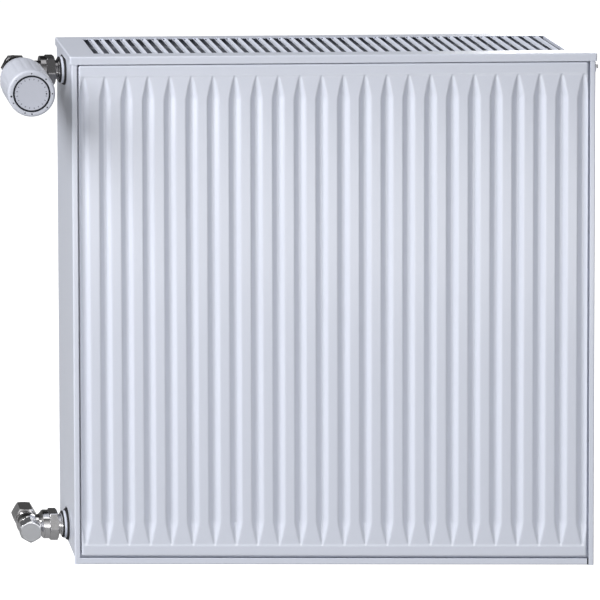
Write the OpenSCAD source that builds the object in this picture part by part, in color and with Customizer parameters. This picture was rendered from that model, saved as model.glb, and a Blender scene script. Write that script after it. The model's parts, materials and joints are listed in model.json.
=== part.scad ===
// Steel panel radiator, two pressed panels with two folded convectors, covers all round,
// a thermostatic angle valve at the flow and a lockshield angle valve at the return.
// Millimetres. X runs along the wall, Y towards the wall, Z up.
// The origin is the middle of the rear face at the height of the upper tappings.

/* [Radiator] */
// Length over the top cover
rad_len = 600; // [400:1:1200]
// Height from the lowest edge to the top cover
rad_h = 600; // [400:1:900]
// Depth over the faces of both panels
rad_depth = 100; // [96:1:160]
// Distance of the tapping axes from the top and from the bottom
tap_inset = 27; // [26:0.5:40]

/* [Pressed panels] */
// Thickness of the pressed sheet
sheet_t = 1.2; // [1:0.05:1.5]
// Height of the water channels above the weld plane, inside the sheet
channel_h = 5; // [4:0.1:6]
// Spacing of the water channels
channel_pitch = 24.75; // [20:0.25:33]
// Width of the flat top of a channel
channel_top = 11; // [8:0.5:14]
// Width of the flat bottom of a groove
groove_flat = 2; // [1:0.25:4]
// Length over which each groove runs out
groove_taper = 27; // [15:1:40]
// Plain band above and below the grooves of the faces that show
outer_band = 13; // [8:0.5:30]
// Radius of the pressed edges
face_r = 2.5; // [1.5:0.1:4]
// Dark gap beside and below the front face
face_gap = 1.9; // [1:0.1:3]
// Gap between the front face and the skirt above it
top_gap = 1; // [0.6:0.1:3]

/* [Convectors] */
// Thickness of the folded sheet
fin_t = 0.5; // [0.4:0.05:0.8]
// Depth of the folds
fin_d = 32; // [20:1:35]
// Width of the land welded to each channel
land_w = 10; // [6:0.5:12]

/* [Covers] */
// Thickness of the cover sheet
cover_t = 1; // [0.7:0.05:1.5]
// Height of the skirt of the top cover
skirt_h = 9.2; // [6:0.1:12]
// How far the side covers stand inside the top cover
side_step = 2; // [1.5:0.1:4]
// Width of the lips of the side covers
lip_w = 6.1; // [5:0.1:12]
// Outer radius of the cover bends
bend_r = 1.8; // [1.6:0.1:3]
// Height of the strip under the face
trim_h = 7.7; // [5:0.1:12]
// Height of the side wall's lower edge above the lips' ends
wall_lift = 8.8; // [5:0.1:9]
// Length of the air slots in the top cover
slot_len = 72; // [40:1:74]
// How far the slots stand behind the middle of the top cover
slot_back = 1.5; // [0:0.5:3]
// Width of the bars between the slots
bar_w = 6; // [4:0.1:8]
// How far the edges of the slots turn down
slot_turn = 3; // [1:0.5:5]

/* [Hanging lugs] */
// Thickness of the lug sheet
lug_t = 2.5; // [2:0.1:4]
// Width of a lug
lug_w = 36; // [30:1:60]
// Clear space behind the tongue
lug_gap = 6; // [4.5:0.5:10]
// Height of a lug
lug_h = 40; // [30:1:60]

/* [Tappings] */
// Radius of the threads of the tappings and of the pipe sockets
thread_r = 9.3; // [9:0.05:9.5]
// Outer radius of the corner bosses
boss_r = 15.5; // [14:0.1:17]
// How far the bosses stand out of the top cover's outline
boss_out = 3; // [2:0.5:8]
// Radius of the water passages
water_r = 8; // [6:0.1:8.5]

/* [Valves] */
// Distance of the thermostatic valve's axis from the boss
trv_reach = 50.6; // [47:0.2:56]
// Distance of the lockshield valve's axis from the boss
lock_reach = 41.4; // [40:0.2:50]
// Width across the flats of the union nuts
nut_af = 32; // [30:0.5:34]
// Depth of the pipe sockets
socket_len = 14; // [10:0.5:16]
// Width across the flats of the thermostatic valve's body
trv_af = 29; // [28:0.5:34]
// Width across the flats of the lockshield valve's inlet
lock_af = 25.5; // [25:0.5:30]
// Radial clearance of threads and running stems
fit = 0.1; // [0.05:0.01:0.1]
// Clearance between pieces that move past each other
gap = 0.3; // [0.2:0.05:0.5]

/* [Thermostatic head] */
// Radius of the handle at its rear edge
handle_rear_r = 23.5; // [23:0.25:26]
// Radius of the handle at its front edge
handle_front_r = 27.25; // [26:0.25:30]
// Distance of the handle's front from the valve's axis
handle_end = 111; // [110:1:125]
// Depth of the flutes
flute_depth = 0.5; // [0.2:0.05:0.8]
// Number of flutes
flutes = 30; // [18:1:40]

/* [Lockshield] */
// Width across the flats of the cap
cap_af = 23.2; // [22.4:0.2:26]
// Distance of the cap's front from the valve's axis
cap_end = 23.5; // [23:0.5:30]

/* [Hidden] */
$fn = 64;
over = 0.5;
z_top = tap_inset;
z_bottom = tap_inset - rad_h;
z_low = 2 * tap_inset - rad_h;
y_tap = -rad_depth / 2;
cover_x = rad_len / 2 - side_step;
boss_x = rad_len / 2 + boss_out;
tray_w = 2 * (cover_x - lip_w - face_gap);
tray_top = z_top - skirt_h - top_gap;
tray_bottom = z_bottom + trim_h + face_gap;
channels = 2 * floor((tray_w / channel_pitch - 1) / 2) + 1;
tee_x = (channels - 1) / 2 * channel_pitch;
tee_r = water_r + 4;
inner_band = tray_top + tee_r + 2.2;
panel_t = 2 * (channel_h + sheet_t);
front_weld = -rad_depth + panel_t / 2;
rear_weld = -panel_t / 2;
flange_x = cover_x - cover_t;
flange_top = z_top - 2 * cover_t;
flange_bottom = z_bottom + cover_t;
groove_w = channel_pitch - channel_top;
groove_slope = (groove_w - groove_flat) / (2 * channel_h);
taper_a = atan(channel_h / groove_taper);
groove_xs = [for (i = [0:channels]) (i - channels / 2) * channel_pitch];
top_xs = [for (i = [0:channels - 1]) (i - (channels - 1) / 2) * channel_pitch];
fin_top = -tee_r - 6;
fin_bottom = z_low + tee_r + 6;
slot_pitch = channel_pitch / 2;
slots = 2 * floor((rad_len / 2 - 26) / slot_pitch);
hole_r = boss_r + 1.75;
grommet_out = 2.4;
lug_x = (floor((channels - 8) / 2) + 0.5) * channel_pitch;
trv_x = -boss_x - trv_reach;
lock_x = -boss_x - lock_reach;

// Union, measured outwards from the boss
collar_r = 13;
collar_t = 1.5;
washer_r = 15;
face_washer_t = 1.5;
shank_r = 11;
nut_start = 6.7;
nut_lip = 2;
head_t = 2;
nut_end = 17.4;
nut_r = 13;
nose_r = 10.4;
nose_len = 4.8;
nose_slope = 0.375;
union_face = nut_start + nut_lip + head_t;
guard_end = 23.5;
tail_bore = 7;
plug_len = 12;

// Thermostatic valve, measured forwards from its axis
trv_inlet_end = 26;
seat_r = 5.5;
trv_seat = -3;
trv_lift = 1.55;
chamber_r = 9.3;
neck_end = 25;
neck_r = 14.8;
stem_r = 2;
spring_seat = 8;
stem_collar = 15.8;
gland_low = 18.6;
insert_flange = 26.5;
stem_end = 31;
base_web = 26.8;
base_flange = 28;
base_flange_r = 15.2;
base_bore = 11;
base_neck_r = 13;
ring_start = 17;
ring_end = 33;
ring_r = 17.5;
handle_start = 36;
cup_end = handle_start + 9;
cup_r = handle_rear_r - 2.7;
guide_end = 90;
capsule_r = 11;
capsule_start = 64;
capsule_end = 100;
carrier_t = 2;
carrier_r = capsule_r + carrier_t;
guide_r = carrier_r + gap;
thread_ring_r = 17;
key_w = 3;
plate_start = 46;
plate_t = 2;
front_t = 2;
recess = 3;
recess_r = 21.1;
ring_inner_r = 19.4;

// Lockshield valve, measured forwards from its axis
lock_inlet_end = 33;
lock_seat = -6;
lock_seat_r = 5;
lock_lift = 1.5;
lock_chamber_r = 8.5;
lock_neck_r = 10.4;
lock_neck_end = 14;
bonnet_low = 5;
bonnet_t = 1.5;
spindle_r = 5;
spindle_end = 19.5;
screw_r = 2.2;
plug_r = 6.5;
plug_h = 6;
cap_start = 9.9;
cap_r = cap_af / sqrt(3) - 0.3;
washer_t = 1.5;

// Vent and blanking plug, measured outwards from the boss
plug_collar_t = 2.5;
plug_hex_end = 5.5;
hub_r = 7;
hub_end = 10.5;
bleed_r = 3;

// Node to draw, or all

enamel = [0.93, 0.94, 0.96];
steel = [0.72, 0.73, 0.75];
nickel = [0.62, 0.59, 0.56];
brass = [0.78, 0.66, 0.38];
rubber = [0.12, 0.12, 0.13];
white_plastic = [0.9, 0.91, 0.93];
dark_plastic = [0.22, 0.23, 0.25];

// Helpers

// Rectangle standing on the X axis, its two far corners rounded
module capped(w, h, r) {
    translate([-w / 2, 0]) square([w, h - r]);
    translate([-w / 2 + r, 0]) square([w - 2 * r, h]);
    for (side = [-1, 1]) translate([side * (w / 2 - r), h - r]) circle(r);
}

// Block standing on Z = 0 with its upper edges rounded
module pad(w, d, h, r) {
    intersection() {
        rotate([90, 0, 0]) translate([0, 0, -d / 2]) linear_extrude(d) capped(w, h, r);
        rotate([90, 0, 90]) translate([0, 0, -w / 2]) linear_extrude(w) capped(d, h, r);
    }
}

module rod(r, from, to) {
    translate([0, 0, from]) cylinder(r = r, h = to - from);
}

module hex_rod(af, from, to) {
    translate([0, 0, from]) cylinder(r = af / sqrt(3), h = to - from, $fn = 6);
}

// Hexagon with its corners turned off at both ends
module nut_block(af, from, to) {
    c = (af / sqrt(3) - af / 2) * 0.9;
    t = c * 0.577;
    r = af / 2 + (af / sqrt(3) - af / 2);
    intersection() {
        hex_rod(af, from, to);
        rotate_extrude() polygon([[0, from], [r - c, from], [r, from + t], [r, to - t],
            [r - c, to], [0, to]]);
    }
}

// Ring of round section
module ring(r, wire, at) {
    translate([0, 0, at]) rotate_extrude() translate([r, 0]) circle(wire);
}

// Places a piece on a valve's axis, its own Z forwards, away from the wall
module forwards(x, z) {
    translate([x, y_tap, z]) rotate([90, 0, 0]) children();
}

// Places a piece on a tapping, its own Z outwards; side is -1 on the left
module outwards(side, z) {
    translate([side * boss_x, y_tap, z]) rotate([0, side * 90, 0]) children();
}

// Helical spring of round wire, standing on its own Z axis
module coil(r, wire, from, to, turns) {
    steps = 16;
    sides = 6;
    n = turns * steps;
    rise = (to - from - 2 * wire) / n;
    points = [for (i = [0:n]) for (j = [0:sides - 1])
        let (a = i * 360 / steps, b = j * 360 / sides, q = r + wire * cos(b))
        [q * cos(a), q * sin(a), from + wire + i * rise + wire * sin(b)]];
    walls = [for (i = [0:n - 1]) for (j = [0:sides - 1])
        [i * sides + j, (i + 1) * sides + j, (i + 1) * sides + (j + 1) % sides,
            i * sides + (j + 1) % sides]];
    ends = [[for (j = [0:sides - 1]) j], [for (j = [sides - 1:-1:0]) n * sides + j]];
    polyhedron(points, concat(walls, ends));
}

// Pressed panels

module groove_section(lean) {
    w = groove_flat / 2 + groove_slope * (channel_h + over);
    polygon([[-w, -over * lean], [w, -over * lean], [groove_flat / 2, channel_h * lean],
        [-groove_flat / 2, channel_h * lean]]);
}

// Row of grooves pressed into a face that lies in the plane Y = 0 and looks along -Y
module grooves(low, high) {
    for (x = groove_xs)
        translate([x, 0, low + groove_taper])
            linear_extrude(high - low - 2 * groove_taper) groove_section(1);
    for (end = [0, 1])
        translate([0, 0, end == 0 ? high - groove_taper : low + groove_taper])
            mirror([0, 0, end]) intersection() {
                for (x = groove_xs)
                    translate([x, channel_h, 0]) rotate([taper_a, 0, 0])
                        translate([0, -channel_h * cos(taper_a), -3])
                            linear_extrude(groove_taper + 12) groove_section(cos(taper_a));
                translate([-tray_w, -over, 0])
                    cube([2 * tray_w, channel_h + 2 * over, groove_taper]);
            }
}

module tray(w, low, high, h, r) {
    translate([0, 0, (low + high) / 2]) rotate([90, 0, 0]) pad(w, high - low, h, r);
}

// Pressed sheet with its weld plane at Y = 0 and its raised side towards -Y
module sheet(band, ports) {
    difference() {
        union() {
            tray(tray_w, tray_bottom, tray_top, channel_h + sheet_t, face_r);
            translate([-flange_x, -sheet_t, flange_bottom])
                cube([2 * flange_x, sheet_t, flange_top - flange_bottom]);
        }
        translate([0, -channel_h - sheet_t, 0]) grooves(tray_bottom + band, tray_top - band);
        difference() {
            translate([0, 1, 0]) tray(tray_w - 2 * sheet_t, tray_bottom + sheet_t,
                tray_top - sheet_t, channel_h + 1, face_r - sheet_t);
            translate([0, -channel_h, 0]) grooves(tray_bottom + band, tray_top - band);
        }
        if (ports)
            for (side = [-1, 1], z = [0, z_low])
                translate([side * tee_x, over, z]) rotate([90, 0, 0])
                    cylinder(r = water_r, h = channel_h + sheet_t + 2 * over);
    }
}

module front_panel_outer() {
    color(enamel) translate([0, front_weld, 0]) sheet(outer_band, false);
}

module front_panel_inner() {
    color(enamel) translate([0, front_weld, 0]) mirror([0, 1, 0]) sheet(inner_band, true);
}

module rear_panel_inner() {
    color(enamel) translate([0, rear_weld, 0]) sheet(inner_band, true);
}

module rear_panel_outer() {
    color(enamel) translate([0, rear_weld, 0]) mirror([0, 1, 0]) sheet(outer_band, false);
}

// Convectors

// Folded sheet with its lands on Z = fin_bottom .. fin_top, lands at Y = 0
module folds() {
    translate([0, 0, fin_bottom]) linear_extrude(fin_top - fin_bottom) {
        for (x = top_xs) {
            translate([x - land_w / 2, 0]) square([land_w, fin_t]);
            translate([x - land_w / 2, 0]) square([fin_t, fin_d]);
            translate([x + land_w / 2 - fin_t, 0]) square([fin_t, fin_d]);
        }
        for (i = [0:channels - 2])
            translate([top_xs[i] + land_w / 2 - fin_t, fin_d - fin_t])
                square([channel_pitch - land_w + 2 * fin_t, fin_t]);
    }
}

module front_convector() {
    color(enamel) translate([0, -rad_depth + panel_t, 0]) folds();
}

module rear_convector() {
    color(enamel) translate([0, -panel_t, 0]) mirror([0, 1, 0]) folds();
}

// Corner tees

module tee(side, z) {
    depth = rad_depth - 2 * panel_t;
    color(enamel) difference() {
        union() {
            translate([side * tee_x, -panel_t, z]) rotate([90, 0, 0]) rod(tee_r, 0, depth);
            outwards(side, z) rod(boss_r, tee_x - boss_x, 0);
        }
        translate([side * tee_x, -panel_t, z]) rotate([90, 0, 0])
            rod(water_r, -over, depth + over);
        outwards(side, z) {
            rod(water_r, tee_x - boss_x, 0);
            rod(thread_r, -18, over);
        }
    }
}

module tee_flow() {
    tee(-1, 0);
}

module tee_return() {
    tee(-1, z_low);
}

module tee_vent() {
    tee(1, 0);
}

module tee_blank() {
    tee(1, z_low);
}

// Covers

module lid(w, d, h, r) {
    translate([0, 0, -h]) pad(w, d, h, r);
}

module top_grille() {
    slot_w = slot_pitch - bar_w;
    slot_front = slot_back - slot_len / 2;
    color(enamel) translate([0, y_tap, z_top]) {
        difference() {
            lid(rad_len, rad_depth, skirt_h, bend_r);
            translate([0, 0, -cover_t]) lid(rad_len - 2 * cover_t, rad_depth - 2 * cover_t,
                skirt_h, bend_r - cover_t);
            for (i = [0:slots - 1])
                translate([(i - (slots - 1) / 2) * slot_pitch - slot_w / 2, slot_front,
                    -cover_t - over])
                    cube([slot_w, slot_len, cover_t + 2 * over]);
        }
        for (i = [0:slots - 1], side = [0, 1])
            translate([(i - (slots - 1) / 2) * slot_pitch
                + (side == 0 ? -slot_w / 2 - cover_t : slot_w / 2), slot_front,
                -cover_t - slot_turn])
                cube([cover_t, slot_len, slot_turn + cover_t / 2]);
    }
}

module grille_clips() {
    leg = 7;
    color(steel) for (weld = [front_weld, rear_weld], side = [-1, 1])
        translate([side * rad_len / 3 - 10, weld, flange_top]) difference() {
            translate([0, -sheet_t - 0.8, -leg]) cube([20, 2 * sheet_t + 1.6, leg + cover_t]);
            translate([-over, -sheet_t, -leg - over]) cube([20 + 2 * over, 2 * sheet_t, leg + over]);
        }
}

// Rectangle with its corner at the origin and the two corners on X = 0 rounded
module side_block(w, d, r) {
    translate([r, 0]) square([w - r, d]);
    translate([0, r]) square([w, d - 2 * r]);
    for (y = [r, d - r]) translate([r, y]) circle(r);
}

// Side cover of the left side, its wall standing on X = 0 .. cover_t
module side_cover() {
    lip_top = z_top - skirt_h - gap;
    difference() {
        union() {
            translate([0, -rad_depth, z_bottom]) linear_extrude(lip_top - z_bottom)
                difference() {
                    side_block(lip_w, rad_depth, bend_r);
                    translate([cover_t, cover_t]) side_block(lip_w, rad_depth - 2 * cover_t,
                        bend_r - cover_t);
                }
            translate([0, bend_r - rad_depth, lip_top - 1])
                cube([cover_t, rad_depth - 2 * bend_r, z_top - cover_t - gap - lip_top + 1]);
        }
        translate([-over, bend_r - rad_depth, z_bottom - over])
            cube([cover_t + 2 * over, rad_depth - 2 * bend_r, wall_lift + over]);
        for (z = [0, z_low])
            translate([-over, y_tap, z]) rotate([0, 90, 0])
                cylinder(r = hole_r, h = cover_t + 2 * over);
    }
}

// Rubber ring that lines a hole of a side cover, measured outwards from the boss face
module grommet() {
    wall = cover_x - boss_x;
    inner = boss_r + fit;
    rotate_extrude() polygon([[inner, wall + grommet_out], [inner, wall - cover_t - 1.2],
        [hole_r + 1.2, wall - cover_t - 1.2], [hole_r + 1.2, wall - cover_t],
        [hole_r, wall - cover_t], [hole_r, wall], [hole_r + 0.4, wall],
        [hole_r + 0.4, wall + grommet_out - 0.8], [hole_r - 0.4, wall + grommet_out]]);
}

module cover_grommets() {
    color(rubber) for (side = [-1, 1], z = [0, z_low]) outwards(side, z) grommet();
}

module side_cover_left() {
    color(enamel) translate([-cover_x, 0, 0]) side_cover();
}

module side_cover_right() {
    color(enamel) translate([cover_x, 0, 0]) mirror([1, 0, 0]) side_cover();
}

// Strip under the face, welded to the lower seam by its rear leg
module bottom_trim() {
    left = -cover_x + lip_w;
    right = cover_x - lip_w - face_gap;
    back = rad_depth + front_weld + sheet_t + cover_t;
    color(enamel) translate([left, -rad_depth, z_bottom]) rotate([90, 0, 90])
        linear_extrude(right - left) {
            difference() {
                union() {
                    translate([bend_r, 0]) square([back - bend_r, 7]);
                    translate([0, bend_r]) square([back, trim_h - bend_r]);
                    translate([bend_r, bend_r]) circle(bend_r);
                }
                translate([bend_r, cover_t]) square([back - cover_t - bend_r, trim_h]);
                translate([cover_t, bend_r]) square([bend_r, trim_h]);
                translate([bend_r, bend_r]) circle(bend_r - cover_t);
                translate([back - cover_t - over, 7]) square([cover_t + 2 * over, trim_h]);
            }
        }
}

// Lug standing on the rear face, open downwards; its top at the origin
module lug() {
    foot = 12;
    r = lug_t / 2;
    translate([-lug_w / 2, 0, 0]) rotate([90, 0, 90]) linear_extrude(lug_w) {
        translate([0, -foot]) square([lug_t, foot]);
        translate([0, -foot - lug_t + r]) square([lug_gap + lug_t - r, lug_t]);
        translate([lug_gap + lug_t - r, -foot + r]) circle(r);
        translate([lug_gap + lug_t - r, -foot - r]) square([r, 2 * r]);
        translate([lug_gap, -lug_h + r]) square([lug_t, lug_h - foot - r]);
        translate([lug_gap + r, -lug_h + r]) circle(r);
    }
}

module hanging_lugs() {
    color(enamel) for (side = [-1, 1], z = [-45, z_low + 76])
        translate([side * lug_x, 0, z]) lug();
}

// Vent and blanking plug

// Threaded plug with a collar that has a seal groove in its face
module plug_blank(bore) {
    difference() {
        union() {
            rod(thread_r - fit, -plug_len, 0);
            rod(collar_r + 0.5, 0, plug_collar_t);
            nut_block(22, plug_collar_t, plug_hex_end);
        }
        difference() {
            rod(12, -over, 1.6);
            rod(thread_r + 0.2, -1, 2);
        }
        rod(bore, -plug_len - over, -2);
    }
}

module vent_body() {
    color(nickel) outwards(1, 0) difference() {
        union() {
            plug_blank(water_r - 2.5);
            rod(hub_r, plug_hex_end, hub_end);
            rod(hub_r + 0.8, hub_end, hub_end + 0.8);
        }
        rod(1.2, -3, 1);
        rod(bleed_r + fit, 0, hub_end + 2);
        translate([0, 0, (plug_hex_end + hub_end) / 2]) rotate([0, 90, 0]) rod(1, 0, hub_r + 1);
    }
}

module vent_swivel() {
    low = plug_hex_end + gap;
    high = hub_end - gap;
    mid = (low + high) / 2;
    color(white_plastic) outwards(1, 0) difference() {
        union() {
            rod(hub_r + 3, low, high);
            translate([0, 0, mid]) rotate([0, 90, 0]) rod(2.1, hub_r + 1, 15);
        }
        rod(hub_r + gap, low - over, high + over);
        translate([0, 0, mid]) rotate([0, 90, 0]) rod(1.1, hub_r - 1, 16);
    }
}

module bleed_screw() {
    color(nickel) outwards(1, 0) {
        rotate_extrude() polygon([[0, -0.7], [0.5, -0.7], [bleed_r, 2], [bleed_r, 6.2],
            [bleed_r - 0.9, 6.2], [bleed_r - 0.9, 7.6], [bleed_r, 7.6],
            [bleed_r, hub_end + 1.1], [0, hub_end + 1.1]]);
        translate([-2.5, -2.5, hub_end + 1.1]) cube([5, 5, 3.8]);
    }
}

module bleed_seal() {
    color(rubber) outwards(1, 0) ring(bleed_r - 0.45, 0.45, 6.9);
}

module blank_plug() {
    color(nickel) outwards(1, z_low) difference() {
        plug_blank(water_r - 2.5);
        hex_rod(10, 1, plug_hex_end + over);
    }
}

module plug_seals() {
    color(rubber) for (z = [0, z_low]) outwards(1, z)
        rotate_extrude() translate([thread_r + 0.45, 0.05]) square([2, 1.5]);
}

// Unions of both valves

module tail() {
    nose_end = union_face + nose_len;
    difference() {
        union() {
            rod(thread_r - fit, -plug_len, face_washer_t);
            rod(collar_r, face_washer_t, face_washer_t + collar_t);
            rod(shank_r, face_washer_t + collar_t, nut_start + nut_lip);
            rod(shank_r + 1.3, nut_start + nut_lip, union_face);
            translate([0, 0, union_face]) cylinder(r1 = nose_r,
                r2 = nose_r - nose_len * nose_slope, h = nose_len);
        }
        rod(tail_bore, -plug_len - over, nose_end + over);
        hex_rod(tail_bore * 2 + 0.8, -plug_len - over, -4);
        translate([0, 0, union_face + 1.3]) difference() {
            rod(shank_r, 0, 1.8);
            rod(nose_r - 2.2, -over, 1.8 + over);
        }
    }
}

module tails() {
    color(nickel) for (z = [0, z_low]) outwards(-1, z) tail();
}

// Flat washers between the tails and the boss faces
module tail_washers() {
    color(rubber) for (z = [0, z_low]) outwards(-1, z) difference() {
        rod(washer_r, 0, face_washer_t);
        rod(thread_r, -over, face_washer_t + over);
    }
}

module tail_seals() {
    color(rubber) for (z = [0, z_low]) outwards(-1, z)
        ring(nose_r - 1.43, 0.75, union_face + 2.2);
}

module union_nuts() {
    color(nickel) for (z = [0, z_low]) outwards(-1, z) difference() {
        nut_block(nut_af, nut_start, nut_end);
        rod(shank_r + gap, nut_start - over, nut_end);
        rod(nut_r + fit, nut_start + nut_lip, nut_end + over);
    }
}

// Outlet arm of a valve body, its own Z towards the radiator; reach is axis to boss
module arm(reach, neck) {
    rod(neck, 0, reach - guard_end);
    rod(nut_af / 2 + 0.2, reach - guard_end, reach - nut_end);
    rod(nut_r, reach - nut_end, reach - union_face);
}

module arm_bore(reach, from, r) {
    mouth = reach - union_face;
    rod(r, from, mouth + over);
    translate([0, 0, mouth - nose_len]) cylinder(r1 = nose_r + 0.2 - nose_len * nose_slope,
        r2 = nose_r + 0.2 + over * nose_slope, h = nose_len + over);
}

// Thermostatic valve

module trv_body() {
    color(nickel) forwards(trv_x, 0) difference() {
        union() {
            sphere(neck_r + 0.7);
            rod(neck_r - 1.6, -11, neck_end - 10);
            nut_block(trv_af, -12, -5);
            rod(thread_r + 2, -trv_inlet_end, -11);
            rod(neck_r, neck_end - 10, neck_end);
            rotate([0, 90, 0]) arm(trv_reach, 10.7);
        }
        rod(thread_r, -trv_inlet_end - over, socket_len - trv_inlet_end);
        rod(seat_r, -trv_inlet_end, trv_seat + over);
        rod(chamber_r, trv_seat, neck_end + over);
        rotate([0, 90, 0]) arm_bore(trv_reach, seat_r + 2.5, water_r);
    }
}

module trv_insert() {
    color(brass) forwards(trv_x, 0) difference() {
        union() {
            rod(chamber_r - fit, spring_seat - 3, neck_end);
            hex_rod(21, neck_end, insert_flange);
        }
        rod(stem_r + 0.4, 0, spring_seat + over);
        rod(6, spring_seat, insert_flange + over);
    }
}

module trv_gland() {
    color(brass) forwards(trv_x, 0) difference() {
        union() {
            rod(6 - fit, gland_low, insert_flange);
            hex_rod(13, insert_flange, insert_flange + 2);
        }
        rod(stem_r + fit, 0, stem_end);
        rod(stem_r + 1.65, 22, 24);
    }
}

module gland_seal() {
    color(rubber) forwards(trv_x, 0) ring(stem_r + 0.87, 0.77, 23);
}

module trv_stem() {
    color(steel) forwards(trv_x, 0) {
        rod(stem_r, trv_seat + trv_lift + 1, stem_end);
        rod(4.8, stem_collar, stem_collar + 1);
    }
}

module trv_disc() {
    low = trv_seat + trv_lift;
    color(rubber) forwards(trv_x, 0) difference() {
        rotate_extrude() polygon([[0, low], [seat_r + 0.6, low], [seat_r + 1.1, low + 0.5],
            [seat_r + 1.1, low + 2], [4, low + 3], [0, low + 3]]);
        rod(stem_r, low + 1, low + 3 + over);
    }
}

module return_spring() {
    color(steel) forwards(trv_x, 0) coil(4, 0.45, spring_seat, stem_collar, 5);
}

// Thermostatic head

module ring_nut() {
    color(nickel) forwards(trv_x, 0) difference() {
        rotate_extrude() polygon([[0, ring_start], [ring_r - 0.8, ring_start],
            [ring_r, ring_start + 0.8], [ring_r, ring_end - 0.8], [ring_r - 0.8, ring_end],
            [0, ring_end]]);
        rod(neck_r + fit, ring_start - over, neck_end + over);
        rod(base_flange_r + gap, neck_end, base_flange);
        rod(base_neck_r + gap, neck_end, ring_end + over);
        for (i = [0:11]) rotate([0, 0, i * 30]) translate([ring_r + 1.6, 0, ring_start - over])
            cylinder(r = 2.4, h = ring_end - ring_start + 2 * over);
    }
}

module head_base() {
    key_slot = key_w + 2 * gap;
    flare = ring_end + 0.6;
    color(white_plastic) forwards(trv_x, 0) difference() {
        rotate_extrude() {
            polygon([[base_bore, base_web], [base_flange_r, base_web],
                [base_flange_r, base_flange], [base_neck_r, base_flange], [base_neck_r, flare],
                [cup_r, handle_start], [cup_r, handle_start + 5.3], [cup_r - 1, handle_start + 5.3],
                [cup_r - 1, handle_start + 7.8], [cup_r, handle_start + 7.8], [cup_r, cup_end],
                [cup_r - 2, cup_end], [cup_r - 2, handle_start + 2.5],
                [guide_r + 1.7, handle_start + 2.5], [guide_r + 1.7, guide_end],
                [guide_r, guide_end], [guide_r, handle_start + 2.5],
                [base_bore, handle_start + 2.5]]);
            translate([base_bore + 1.5, neck_end])
                square([base_flange_r - base_bore - 1.5, base_web - neck_end]);
        }
        for (turn = [0, 180]) rotate([0, 0, turn]) translate([base_bore, -key_slot / 2, 60])
            cube([6, key_slot, guide_end]);
    }
}

module sensor_carrier() {
    color(dark_plastic) forwards(trv_x, 0) difference() {
        union() {
            rod(carrier_r, capsule_start - carrier_t, capsule_end);
            rod(thread_ring_r, guide_end + 2, capsule_end);
            translate([-carrier_r - 1.4, -key_w / 2, 66])
                cube([2 * carrier_r + 2.8, key_w, guide_end - 66]);
        }
        rod(4, capsule_start - carrier_t - over, capsule_start + over);
        rod(capsule_r, capsule_start, capsule_end + over);
    }
}

module sensor_capsule() {
    color(steel) forwards(trv_x, 0) {
        rotate_extrude() polygon([[0, capsule_start], [capsule_r, capsule_start],
            [capsule_r, capsule_end - 2], [capsule_r - 2, capsule_end], [3, capsule_end],
            [2, capsule_end + 2], [0, capsule_end + 2]]);
        rod(3, plate_start + plate_t, capsule_start);
    }
}

module push_pin() {
    color(white_plastic) forwards(trv_x, 0) {
        rod(2.6, stem_end, plate_start);
        difference() {
            rod(8, plate_start, capsule_start - carrier_t - 2);
            rod(6.8, plate_start + plate_t, capsule_start);
        }
    }
}

module overtravel_spring() {
    color(steel) forwards(trv_x, 0)
        coil(5.4, 0.6, plate_start + plate_t, capsule_start - carrier_t, 6);
}

module handle() {
    lean = atan((handle_front_r - handle_rear_r) / (handle_end - handle_start));
    edge = 3;
    floor_at = handle_end - recess - front_t;
    color(white_plastic) forwards(trv_x, 0) difference() {
        rotate_extrude() {
            difference() {
                union() {
                    polygon([[0, handle_start], [handle_rear_r - 0.6, handle_start],
                        [handle_rear_r, handle_start + 0.8], [handle_front_r, handle_end - edge],
                        [0, handle_end - edge]]);
                    translate([0, floor_at]) square([handle_front_r - edge, recess + front_t]);
                    translate([handle_front_r - edge, handle_end - edge]) circle(edge);
                }
                polygon([[0, 0], [cup_r + gap, 0], [cup_r + gap, handle_start + 5.6],
                    [cup_r - 0.7, handle_start + 5.6], [cup_r - 0.7, handle_start + 7.4],
                    [cup_r + gap, handle_start + 7.4], [cup_r + gap, cup_end + 1],
                    [handle_front_r - 2.8, floor_at - 1], [handle_front_r - 3.8, floor_at],
                    [thread_ring_r + 2, floor_at], [thread_ring_r + 2, guide_end - 6],
                    [thread_ring_r + gap, guide_end - 6], [thread_ring_r + gap, floor_at],
                    [0, floor_at]]);
                translate([-1, floor_at + front_t]) square([recess_r + 1, recess + over]);
            }
        }
        for (i = [0:flutes - 1]) rotate([0, 0, i * 360 / flutes])
            translate([handle_rear_r + 2.5 - flute_depth, 0, handle_start + 6])
                rotate([0, lean, 0]) cylinder(r = 2.5, h = handle_end - handle_start - 14);
    }
}

module handle_ring() {
    low = handle_end - recess;
    color(dark_plastic) forwards(trv_x, 0) difference() {
        rod(recess_r - fit, low, handle_end - 0.1);
        rod(ring_inner_r, low - over, handle_end + over);
    }
}

module handle_cap() {
    low = handle_end - recess;
    r = ring_inner_r - fit;
    color(white_plastic) forwards(trv_x, 0) rotate_extrude()
        polygon([[0, low], [r, low], [r, handle_end - 0.9], [r - 0.5, handle_end - 0.4],
            [0, handle_end - 0.4]]);
}

// Lockshield valve

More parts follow.
